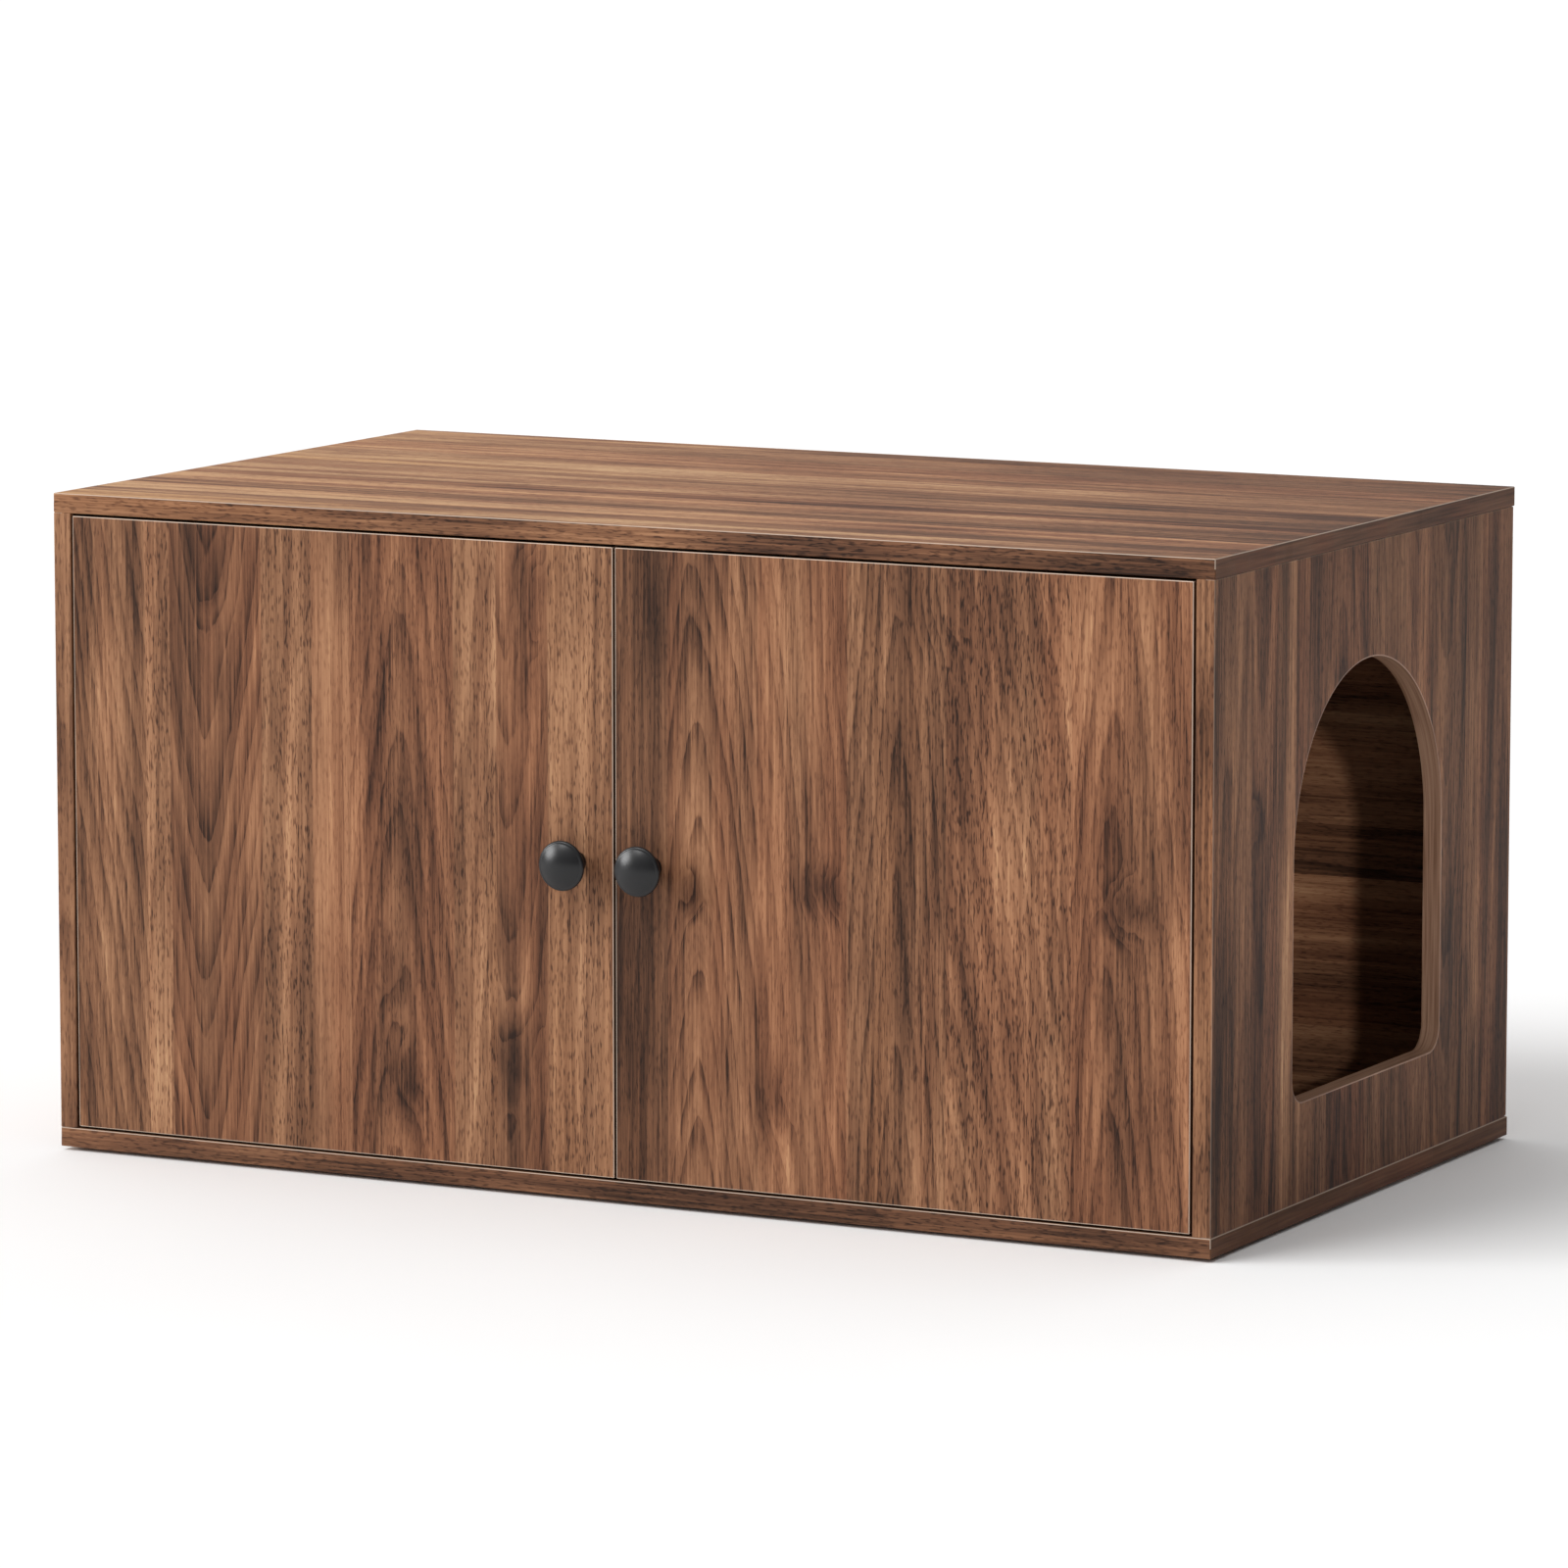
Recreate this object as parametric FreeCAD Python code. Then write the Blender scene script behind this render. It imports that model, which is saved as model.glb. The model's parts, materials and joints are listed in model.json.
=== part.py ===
import FreeCAD, Part
import math
import os

# Cat litter cabinet in melamine-faced board: a box of flat boards with two inset doors on
# concealed hinges, and an arched way in for the cat through the right side panel.
# Millimetres. X runs along the front, -Y faces the user, Z is up.
# The origin is under the middle of everything, on the floor.

Vector = FreeCAD.Vector
X = Vector(1, 0, 0)
Y = Vector(0, 1, 0)
Z = Vector(0, 0, 1)

# ---- cabinet ----
width = 980.0
depth = 560.0
height = 510.0            # underside of the bottom panel to the top of the top panel
board = 15.0              # every board
edge_round = 0.8          # softened edge of a board
back_thickness = 5.0      # back panel, planted on the side panels' rear edges
back_inset = 1.0          # back panel's edge inside the side panel's face
back_play = 0.5           # back panel to the panels above and below
door_gap = 2.0            # round each door
fit = 0.05                # running or pressed fit, on the radius
seat_gap = 0.3            # between pieces that meet but move apart

# ---- arched way in ----
arch_width = 279.0
arch_centre = 282.0       # from the front edge
arch_sill = 89.0          # from the underside of the bottom panel
arch_top = 409.0
arch_corner = 20.0        # radius of the two lower corners
arch_band = 1.0           # edge band glued round the cut
band_round = 0.5          # of its inner rims

# ---- knobs ----
knob_radius = 19.0
knob_projection = 30.0
knob_offset = 32.0        # from the middle of the gap between the doors
knob_neck = 6.5           # radius of the waist
knob_foot = 8.0           # radius on the door
knob_rim = 4.0            # height of the head's rim
knob_dome = 3.0           # rise of its domed face
knob_soft = 1.0           # bevel of the rim
knob_bore_depth = 14.0
knob_screw = 2.0          # radius, M4
knob_screw_head = 4.0
knob_screw_head_height = 2.4
knob_screw_bevel = 0.8    # of its head

# ---- glides under the bottom panel ----
glide_radius = 10.0
glide_height = 3.0
glide_inset = 40.0        # centre from the ends and edges of the bottom panel
glide_nail = 1.1
glide_nail_length = 10.0

# ---- knock-down fittings ----
cam_radius = 7.5
cam_depth = 12.5
cam_distance = 24.0       # cam's centre to the joint
cam_from_edge = 96.0      # from the front and rear edges
cam_slot_length = 9.0     # cross recess for the screwdriver
cam_slot_width = 1.6
cam_slot_depth = 2.0
bolt_radius = 3.4
bolt_neck = 2.2
bolt_thread = 2.9
bolt_thread_length = 11.0
bolt_head_length = 4.0
dowel_radius = 4.0
dowel_length = 30.0
dowel_in_panel = 11.0     # in the top or bottom panel, the rest in the side
dowel_from_bolt = 32.0
dowel_chamfer = 1.0
hole_bottom = 0.5         # free space at the end of a blind hole

# ---- screws ----
screw_radius = 1.6
screw_head = 3.2
screw_head_height = 1.8
screw_length = 13.0
back_screws = 4           # in each rear edge
back_screw_margin = 50.0

# ---- concealed hinges ----
hinge_from_end = 80.0     # hinge's centre to the door's top or bottom
cup_radius = 17.5
cup_depth = 12.5
cup_wall = 0.8
cup_edge = 22.5           # cup's centre to the door's edge
flange_thickness = 1.0
flange_lip = 1.0          # flange beyond the cup
flange_ear = 6.5          # radius of an ear
cup_screw_spacing = 48.0
cup_screw_offset = 6.0    # ear screws, further from the door's edge than the cup's centre
plate_screw_spacing = 32.0
plate_from_door = 38.0    # plate's screw line behind the door
plate_length = 30.0
plate_wing = 6.0          # radius of a winged end
plate_base = 1.5
plate_rib_width = 10.0
plate_rib_height = 8.0
sheet = 1.2               # steel of the arm
arm_width = 14.0
arm_clear = 2.5           # arm behind the door
arm_crank = 12.0          # length of the crank, and its fall
arm_chin = 2.0            # bevel where the arm's cheeks turn down into the cup
arm_screw = 2.0
arm_screw_length = 7.0
arm_screw_head = 3.0
arm_screw_head_height = 2.0
arm_screw_spacing = 16.0

# A door hangs from two short outer links and a longer inner link at each hinge.
# Each pivot: beyond the cup's centre, seen from the door's edge, and below the door's back.
outer_arm_pivot = (6.9, 7.0)
inner_arm_pivot = (17.5, -6.8)
outer_cup_pivot = (-8.8, 7.3)
inner_cup_pivot = (-10.3, 4.0)
pin_radius = 1.0
pin_head = 1.6            # radius of a riveted end
pin_head_height = 0.4
arm_eye = 2.2             # radius of the arm's cheeks round the outer pivot
nose_eye = 3.0            # and round the inner pivot
outer_link_thickness = 1.4
outer_link_half = 1.2     # half the height of its bar
outer_link_bow = 2.65
outer_link_eye = 2.0
inner_link_width = 7.4
inner_link_half = 1.5
inner_link_bow = 2.5
inner_link_eye = 2.6
loose_eye = 1.65          # inner link's hole for its cup pin, which wanders in it as the door turns
loose_shift = (0.25, 0.5)
lug_width = 2.6           # lug in the cup that carries the inner link's pin
lug_radius = 1.9

# ---- magnetic catch and its strike plates ----
catch_width = 46.0
catch_depth = 22.0
catch_height = 14.0
catch_ear = 10.0
catch_ear_thickness = 3.0
magnet_width = 14.0
magnet_height = 5.0
magnet_depth = 8.0
strike_width = 16.0
strike_height = 20.0
strike_thickness = 1.0
strike_drop = 5.0         # middle of the plate below the middle of the catch
catch_round = 2.0         # rounded lower edges

# ---- worked out ----
inner_half = width / 2 - board                       # side panels' inner faces
front = (knob_projection - depth) / 2                # front edges of the boards
rear = front + depth
side_depth = depth - back_thickness
base = glide_height                                  # underside of the bottom panel
bottom_face = base + board                           # upper face of the bottom panel
top_face = base + height
top_under = top_face - board
side_height = top_under - bottom_face
door_width = (2 * inner_half - 3 * door_gap) / 2
door_height = side_height - 2 * door_gap
door_low = bottom_face + door_gap
door_back = front + board
knob_height = door_low + door_height / 2
hinge_heights = (door_low + hinge_from_end, door_low + door_height - hinge_from_end)
cam_rows = (front + cam_from_edge, rear - cam_from_edge)
dowel_rows = (cam_rows[0] + dowel_from_bolt, cam_rows[1] - dowel_from_bolt)
joint_x = width / 2 - board / 2                      # middle of a side panel's thickness

os.makedirs("parts", exist_ok=True)


def save(shape, name):
    shape.exportStep("parts/" + name + ".step")


def aimed(shape, place, direction):
    """Turns a shape drawn along +Z to a direction and moves its origin to a place."""
    turned = shape.copy()
    turned.Placement = FreeCAD.Placement(place, FreeCAD.Rotation(Z, direction))
    return turned


def turned_profile(points):
    """Solid of revolution about Z from its outline: pairs of radius and height."""
    outline = [Vector(radius, 0, level) for radius, level in points]
    face = Part.Face(Part.makePolygon(outline + outline[:1]))
    return face.revolve(Vector(0, 0, 0), Z, 360)


def slab(low, high):
    """Board between two opposite corners, with its edges softened."""
    size = high.sub(low)
    box = Part.makeBox(size.x, size.y, size.z, low)
    return box.makeFillet(edge_round, box.Edges)


def rod(radius, length, start, direction):
    return Part.makeCylinder(radius, length, start, direction)


# ---------------------------------------------------------------- fasteners
def wood_screw(room=0.0):
    """Countersunk screw, its head's top at the origin and its point down -Z; room makes its hole."""
    tip = screw_length - screw_head_height
    return turned_profile([
        (0, 0),
        (screw_head + room, 0),
        (screw_radius + room, -screw_head_height),
        (screw_radius + room, -tip),
        (0, -screw_length - room),
    ])


def screws(places):
    """Screws at places, each a point and the direction its head faces."""
    return Part.makeCompound([aimed(wood_screw(), place, out) for place, out in places])


def screw_holes(places):
    return [aimed(wood_screw(fit), place, out) for place, out in places]


# ---------------------------------------------------------------- knock-down joints
def joints(side):
    """The joint faces of a side panel: their level, and the way to the panel above or below."""
    return [(Vector(side * joint_x, 0, level), up) for level, up in ((top_under, 1), (bottom_face, -1))]


def joint_points(rows, sides=(-1, 1), ups=(1, -1)):
    return [
        (Vector(place.x, row, place.z), up, side)
        for side in sides for place, up in joints(side) if up in ups for row in rows
    ]


def cam_centre(place, up, side):
    return Vector(side * inner_half, place.y, place.z - up * cam_distance)


def cam_lock(place, up, side):
    """Round cam let into the side panel's inner face, hollow for the bolt's head and neck."""
    centre = cam_centre(place, up, side)
    middle = Vector(place.x, centre.y, centre.z)
    body = rod(cam_radius - fit, cam_depth - hole_bottom, centre, X * side)
    head_room = bolt_head_length + 2 * seat_gap
    pocket = rod(bolt_radius + seat_gap, head_room, middle - Z * head_room / 2, Z)
    throat = rod(bolt_neck + seat_gap, cam_radius, middle, Z * up)
    cross = [
        Part.makeBox(2 * cam_slot_depth, wide, high, centre - Vector(cam_slot_depth, wide / 2, high / 2))
        for wide, high in ((cam_slot_length, cam_slot_width), (cam_slot_width, cam_slot_length))
    ]
    return body.cut([pocket, throat] + cross)


def cam_bolt(place, up, side):
    """Bolt from the panel above or below into the cam: thread, shank, neck and head."""
    rim = cam_distance - cam_radius
    head = cam_distance - bolt_head_length / 2
    end = cam_distance + bolt_head_length / 2
    profile = turned_profile([
        (0, bolt_thread_length),
        (bolt_thread, bolt_thread_length),
        (bolt_thread, 0),
        (bolt_radius, 0),
        (bolt_radius, -rim),
        (bolt_neck, -rim),
        (bolt_neck, -head),
        (bolt_radius, -head),
        (bolt_radius, -end),
        (0, -end),
    ])
    return aimed(profile, place, Z * up)


def dowel(place, up, side):
    low = dowel_in_panel - dowel_length
    high = dowel_in_panel
    profile = turned_profile([
        (0, high),
        (dowel_radius - dowel_chamfer, high),
        (dowel_radius, high - dowel_chamfer),
        (dowel_radius, low + dowel_chamfer),
        (dowel_radius - dowel_chamfer, low),
        (0, low),
    ])
    return aimed(profile, place, Z * up)


def holes_in_panel(up):
    """Bolt and dowel holes in the face of the top (up = 1) or bottom (up = -1) panel."""
    bolts = [
        rod(bolt_thread + fit, bolt_thread_length + hole_bottom, place, Z * up)
        for place, _, _ in joint_points(cam_rows, ups=(up,))
    ]
    dowels = [
        rod(dowel_radius + fit, dowel_in_panel + hole_bottom, place, Z * up)
        for place, _, _ in joint_points(dowel_rows, ups=(up,))
    ]
    return bolts + dowels


def holes_in_side(side):
    cuts = []
    for place, up, _ in joint_points(cam_rows, sides=(side,)):
        cuts.append(rod(cam_radius, cam_depth, cam_centre(place, up, side), X * side))
        cuts.append(rod(bolt_radius + fit, cam_distance, place, Z * -up))
    for place, up, _ in joint_points(dowel_rows, sides=(side,)):
        cuts.append(rod(dowel_radius + fit, dowel_length - dowel_in_panel + hole_bottom, place, Z * -up))
    return cuts


# ---------------------------------------------------------------- boards
def back_screw_places(side):
    low = bottom_face + back_screw_margin
    step = (side_height - 2 * back_screw_margin) / (back_screws - 1)
    return [(Vector(side * joint_x, rear, low + step * i), Y) for i in range(back_screws)]


def glide_places():
    across = width / 2 - glide_inset
    along = (front + glide_inset, rear - glide_inset)
    return [Vector(side * across, row, base) for side in (-1, 1) for row in along]


def top_panel():
    board_shape = slab(Vector(-width / 2, front, top_under), Vector(width / 2, rear, top_face))
    return board_shape.cut(holes_in_panel(1) + screw_holes(catch_screw_places()))


def bottom_panel():
    board_shape = slab(Vector(-width / 2, front, base), Vector(width / 2, rear, bottom_face))
    nails = [rod(glide_nail, glide_nail_length + hole_bottom, place, Z) for place in glide_places()]
    return board_shape.cut(holes_in_panel(-1) + nails)


def side_panel(side):
    across = sorted((side * width / 2, side * inner_half))
    board_shape = slab(
        Vector(across[0], front, bottom_face), Vector(across[1], front + side_depth, top_under)
    )
    plates = [place for level in hinge_heights for place in plate_screw_places(side, level)]
    return board_shape.cut(
        holes_in_side(side) + screw_holes(plates) + screw_holes(back_screw_places(side))
    )


def arch_face(shrink=0.0):
    """Arched outline on the plane X = 0: a half circle over straight sides, rounded below."""
    radius = arch_width / 2 - shrink
    corner = arch_corner - shrink
    middle = front + arch_centre
    spring = base + arch_top - arch_width / 2
    sill = base + arch_sill + shrink
    left, right = middle - radius, middle + radius
    turn = corner * (1 - math.sqrt(0.5))

    def at(y, z):
        return Vector(0, y, z)

    edges = [
        Part.Arc(at(left, spring), at(middle, spring + radius), at(right, spring)),
        Part.LineSegment(at(right, spring), at(right, sill + corner)),
        Part.Arc(at(right, sill + corner), at(right - turn, sill + turn), at(right - corner, sill)),
        Part.LineSegment(at(right - corner, sill), at(left + corner, sill)),
        Part.Arc(at(left + corner, sill), at(left + turn, sill + turn), at(left, sill + corner)),
        Part.LineSegment(at(left, sill + corner), at(left, spring)),
    ]
    return Part.Face(Part.Wire([edge.toShape() for edge in edges]))


def arch_cut(shrink=0.0):
    """The arch right through the board, between its two faces."""
    cut = arch_face(shrink).extrude(X * board)
    cut.translate(X * inner_half)
    return cut


def arch_edge_band():
    """Thin band glued round the arch, level with both faces of the board, its inner rims softened."""
    band = arch_cut().cut(arch_cut(arch_band))
    rings = [face for face in band.Faces if len(face.Wires) > 1]
    inner_wires = [min(ring.Wires, key=lambda wire: wire.Length) for ring in rings]
    return band.makeFillet(band_round, [edge for wire in inner_wires for edge in wire.Edges])


def back_panel():
    across = width / 2 - back_inset
    board_shape = slab(
        Vector(-across, front + side_depth, bottom_face + back_play),
        Vector(across, rear, top_under - back_play),
    )
    return board_shape.cut(screw_holes(back_screw_places(-1) + back_screw_places(1)))


def glide():
    """Round glide with the nail that holds it, seen from below at the origin."""
    edge = glide_radius - glide_height / 2
    return turned_profile([
        (0, -glide_height),
        (edge, -glide_height),
        (glide_radius, 0),
        (glide_nail - fit, 0),
        (glide_nail - fit, glide_nail_length - glide_nail),
        (0, glide_nail_length),
    ])


# ---------------------------------------------------------------- doors, drawn on the left
def knob_place():
    return Vector(-knob_offset, front, knob_height)


def knob():
    """Mushroom knob along +Z: round foot, drawn-in waist, and a rimmed head with a domed face."""
    face_edge = knob_projection - knob_dome
    under = face_edge - knob_rim
    edge = knob_radius - knob_soft
    waist = under / 2
    ball = (edge ** 2 + knob_dome ** 2) / (2 * knob_dome)      # the dome is part of a ball

    def at(radius, level):
        return Vector(radius, 0, level)

    def on_ball(radius):
        return at(radius, knob_projection - ball + math.sqrt(ball ** 2 - radius ** 2))

    flare_out, flare_up = edge - knob_neck, under - waist
    flare_middle = at(knob_neck + flare_out * (1 - math.sqrt(0.5)), waist + flare_up * math.sqrt(0.5))
    edges = [
        Part.LineSegment(at(0, 0), at(0, knob_projection)),
        Part.Arc(at(0, knob_projection), on_ball(edge / 2), at(edge, face_edge)),
        Part.LineSegment(at(edge, face_edge), at(knob_radius, face_edge - knob_soft)),
        Part.LineSegment(at(knob_radius, face_edge - knob_soft), at(knob_radius, under + knob_soft)),
        Part.LineSegment(at(knob_radius, under + knob_soft), at(edge, under)),
        Part.Arc(at(edge, under), flare_middle, at(knob_neck, waist)),
        Part.LineSegment(at(knob_neck, waist), at(knob_foot, 0)),
        Part.LineSegment(at(knob_foot, 0), at(0, 0)),
    ]
    outline = Part.Face(Part.Wire([side.toShape() for side in edges]))
    body = outline.revolve(Vector(0, 0, 0), Z, 360)
    bore = rod(knob_screw + fit, knob_bore_depth, Vector(0, 0, 0), Z)
    return aimed(body.cut(bore), knob_place(), Y * -1)


def knob_screw_shape():
    """Pan-headed machine screw through the door into the knob."""
    reach = board + knob_bore_depth - knob_screw
    bevel = knob_screw_bevel
    profile = turned_profile([
        (0, knob_screw_head_height),
        (knob_screw_head - bevel, knob_screw_head_height),
        (knob_screw_head, knob_screw_head_height - bevel),
        (knob_screw_head, 0),
        (knob_screw, 0),
        (knob_screw, -reach),
        (0, -reach),
    ])
    return aimed(profile, knob_place() + Y * board, Y)


def door():
    low = Vector(-inner_half + door_gap, front, door_low)
    board_shape = slab(low, low + Vector(door_width, board, door_height))
    cuts = [rod(knob_screw + fit, board, knob_place(), Y)]
    cuts += screw_holes(strike_screw_places())
    for level in hinge_heights:
        cuts.append(rod(cup_radius, cup_depth, hinge_point(cup_x, board, level), Y * -1))
        cuts += screw_holes(ear_screw_places(level))
    return board_shape.cut(cuts)


# ---------------------------------------------------------------- concealed hinges, on the left
cup_x = door_gap + cup_edge
arm_top = plate_rib_height + sheet + seat_gap
arm_tail = board + plate_from_door + plate_length / 2
arm_low = board + arm_clear
arm_inside = arm_width / 2 - sheet                   # from the hinge's middle to a cheek
outer_link_low = inner_link_width / 2 + seat_gap     # from the hinge's middle to an outer link
cup_floor = board - cup_depth + cup_wall + hole_bottom / 2


def hinge_point(across, inward, level):
    """Point of a left hinge: from the side panel's inner face, from the front, and its height."""
    return Vector(-inner_half + across, front + inward, level)


def hinge_block(outline, low, high, level):
    """Flat shape from its outline in the hinge's plane, between two heights from its middle."""
    points = [hinge_point(across, inward, level + low) for across, inward in outline]
    return Part.Face(Part.makePolygon(points + points[:1])).extrude(Z * (high - low))


def hinge_rod(radius, pivot, low, high, level):
    """Upright rod in the hinge's plane coordinates, between two heights from its middle."""
    return rod(radius, high - low, hinge_point(*pivot, level + low), Z)


def both_ways(shape, level):
    """A shape over the hinge's middle, and its mirror image below."""
    return [shape, shape.mirror(Vector(0, 0, level), Z)]


def pivot_place(pivot):
    return cup_x + pivot[0], board - pivot[1]


def curved_bar(start, end, bow, half, low, high, level):
    """Bar along an arc between two pivots, bowed towards the front at its middle."""
    span = math.dist(start, end)
    along = ((end[0] - start[0]) / span, (end[1] - start[1]) / span)
    aside = (along[1], -along[0])
    radius = (span ** 2 / 4 + bow ** 2) / (2 * bow)
    centre = [(start[i] + end[i]) / 2 - aside[i] * (radius - bow) for i in (0, 1)]

    def beside(place, offset):
        share = (radius + offset) / radius
        return hinge_point(*(centre[i] + (place[i] - centre[i]) * share for i in (0, 1)), level + low)

    crown = [centre[i] + aside[i] * radius for i in (0, 1)]
    outside = Part.Arc(beside(start, half), beside(crown, half), beside(end, half))
    inside = Part.Arc(beside(end, -half), beside(crown, -half), beside(start, -half))
    ends = [
        Part.LineSegment(beside(end, half), beside(end, -half)),
        Part.LineSegment(beside(start, -half), beside(start, half)),
    ]
    outline = Part.Wire([edge.toShape() for edge in (outside, ends[0], inside, ends[1])])
    return Part.Face(outline).extrude(Z * (high - low))


def ear_screw_places(level):
    across = cup_x + cup_screw_offset
    return [
        (hinge_point(across, board + flange_thickness, level + way * cup_screw_spacing / 2), Y)
        for way in (-1, 1)
    ]


def plate_screw_places(side, level):
    return [
        (Vector(
            side * (inner_half - plate_base), front + board + plate_from_door,
            level + way * plate_screw_spacing / 2,
        ), X * -side)
        for way in (-1, 1)
    ]


def hinge_cup(level):
    """Pressed cup with the eared flange that lies on the back of the door, and the inner link's lug."""
    mouth = hinge_point(cup_x, board, level)
    shell = rod(cup_radius - fit, cup_depth - hole_bottom / 2, mouth, Y * -1)
    flange = rod(cup_radius + flange_lip, flange_thickness, mouth, Y)
    ears = [rod(flange_ear, flange_thickness, place - Y * flange_thickness, Y)
            for place, _ in ear_screw_places(level)]
    bar = Part.makeBox(
        2 * flange_ear, flange_thickness, cup_screw_spacing,
        hinge_point(cup_x + cup_screw_offset - flange_ear, board, level - cup_screw_spacing / 2),
    )
    hollow_depth = board - cup_floor + flange_thickness
    hollow = rod(cup_radius - cup_wall, hollow_depth, mouth + Y * flange_thickness, Y * -1)
    pressed = shell.fuse([flange, bar] + ears).cut([hollow] + screw_holes(ear_screw_places(level)))
    lug_place = pivot_place(inner_cup_pivot)
    half = lug_width / 2
    lug = hinge_rod(lug_radius, lug_place, -half, half, level).fuse(hinge_block([
        (lug_place[0] - lug_radius, lug_place[1]),
        (lug_place[0] + lug_radius, lug_place[1]),
        (lug_place[0] + lug_radius, cup_floor - fit),
        (lug_place[0] - lug_radius, cup_floor - fit),
    ], -half, half, level))
    lug_hole = hinge_rod(pin_radius + fit, lug_place, -half, half, level)
    wall_holes = hinge_rod(pin_radius + fit, pivot_place(outer_cup_pivot), -cup_radius, cup_radius, level)
    return pressed.fuse(lug).cut([lug_hole, wall_holes])


def hinge_plate(level):
    """Mounting plate on the side panel: two winged ends and the raised rib that carries the arm."""
    row = board + plate_from_door
    wings = [
        rod(plate_wing, plate_base, hinge_point(0, row, level + way * plate_screw_spacing / 2), X)
        for way in (-1, 1)
    ]
    base_shape = Part.makeBox(
        plate_base, 2 * plate_wing, plate_screw_spacing,
        hinge_point(0, row - plate_wing, level - plate_screw_spacing / 2),
    )
    rib = Part.makeBox(
        plate_rib_height, plate_length, plate_rib_width,
        hinge_point(0, row - plate_length / 2, level - plate_rib_width / 2),
    )
    cuts = screw_holes(plate_screw_places(-1, level))
    cuts += [rod(arm_screw + fit, arm_screw_length, place, X * -1) for place in arm_screw_places(level)]
    return base_shape.fuse(wings + [rib]).cut(cuts)


def arm_screw_places(level):
    row = board + plate_from_door
    return [
        hinge_point(arm_top, row + way * arm_screw_spacing / 2, level) for way in (-1, 1)
    ]


def hinge_arm(level):
    """Cranked channel from the mounting plate to the two pivots of the links, its cheeks in the cup."""
    outer, inner = pivot_place(outer_arm_pivot), pivot_place(inner_arm_pivot)
    low_side = plate_base + seat_gap
    shoulder = inner[1] + inner_link_eye + seat_gap + sheet
    nose = inner[0] + nose_eye
    heel = low_side + arm_crank / 2
    outline = [
        (low_side, arm_tail),
        (arm_top, arm_tail),
        (arm_top, shoulder + arm_crank),
        (arm_top + arm_crank, shoulder),
        (nose, shoulder),
        (nose, inner[1]),
        (inner[0], inner[1] - nose_eye),
        (outer[0] + 2 * arm_eye, arm_low),
        (outer[0] + arm_eye, outer[1]),
        (outer[0] - arm_eye, outer[1]),
        (outer[0] - arm_eye, arm_low - arm_chin),
        (outer[0] - arm_eye - arm_chin, arm_low),
        (heel, arm_low),
        (low_side, arm_low + arm_crank / 2),
    ]
    inside = [
        (low_side - sheet, arm_tail + sheet),
        (arm_top - sheet, arm_tail + sheet),
        (arm_top - sheet, shoulder + arm_crank - sheet / 2),
        (arm_top + arm_crank - sheet / 2, shoulder - sheet),
        (nose + sheet, shoulder - sheet),
        (nose + sheet, 0),
        (low_side - sheet, 0),
    ]
    half = arm_width / 2
    eyes = [hinge_rod(nose_eye, inner, -half, half, level), hinge_rod(arm_eye, outer, -half, half, level)]
    channel = hinge_block(outline, -half, half, level).fuse(eyes)
    hollow = hinge_block(inside, -arm_inside, arm_inside, level)
    holes = [rod(arm_screw + fit, 2 * sheet, place, X * -1) for place in arm_screw_places(level)]
    holes += [hinge_rod(pin_radius + fit, place, -half, half, level) for place in (outer, inner)]
    return channel.cut([hollow] + holes)


def outer_links(level):
    """Two short links, one inside each cheek of the arm, bowed to clear the rim of the open cup."""
    start, end = pivot_place(outer_cup_pivot), pivot_place(outer_arm_pivot)
    low, high = outer_link_low, outer_link_low + outer_link_thickness
    bar = curved_bar(start, end, outer_link_bow, outer_link_half, low, high, level)
    eyes = [hinge_rod(outer_link_eye, place, low, high, level) for place in (start, end)]
    holes = [hinge_rod(pin_radius + fit, place, low, high, level) for place in (start, end)]
    return Part.makeCompound(both_ways(bar.fuse(eyes).cut(holes), level))


def inner_link(level):
    """Long link between them, forked over the lug in the cup."""
    start, end = pivot_place(inner_cup_pivot), pivot_place(inner_arm_pivot)
    half = inner_link_width / 2
    loose = (start[0] + loose_shift[0], start[1] + loose_shift[1])
    bar = curved_bar(start, end, inner_link_bow, inner_link_half, -half, half, level)
    eyes = [
        hinge_rod(inner_link_eye, loose, -half, half, level),
        hinge_rod(inner_link_eye, end, -half, half, level),
    ]
    holes = [
        hinge_rod(loose_eye, loose, -half, half, level),
        hinge_rod(pin_radius + fit, end, -half, half, level),
    ]
    fork = lug_width / 2 + seat_gap
    slot = hinge_rod(inner_link_eye + lug_radius / 2, start, -fork, fork, level)
    return bar.fuse(eyes).cut(holes + [slot])


def riveted_pin(pivot, low, high, level):
    """Pin with a riveted head on its upper end."""
    head = hinge_rod(pin_head, pivot, high, high + pin_head_height, level)
    return hinge_rod(pin_radius, pivot, low, high, level).fuse(head)


def arm_pins(level):
    """Stub pins of the outer links, clear of the inner link between them, and its own long pin."""
    half = arm_width / 2
    stub = riveted_pin(pivot_place(outer_arm_pivot), outer_link_low, half, level)
    inner = pivot_place(inner_arm_pivot)
    long_pin = riveted_pin(inner, 0, half, level)
    return both_ways(stub, level) + [long_pin.fuse(both_ways(long_pin, level)[1]).removeSplitter()]


def cup_pins(level):
    """Pins held by the cup: a stub from each wall for the outer links, and one in the lug."""
    offset = outer_cup_pivot[0]
    wall = math.sqrt((cup_radius - fit) ** 2 - (abs(offset) + pin_radius) ** 2)
    stub = hinge_rod(pin_radius, pivot_place(outer_cup_pivot), outer_link_low, wall, level)
    reach = inner_link_width / 2
    lug_pin = hinge_rod(pin_radius, pivot_place(inner_cup_pivot), -reach, reach, level)
    return both_ways(stub, level) + [lug_pin]


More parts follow.
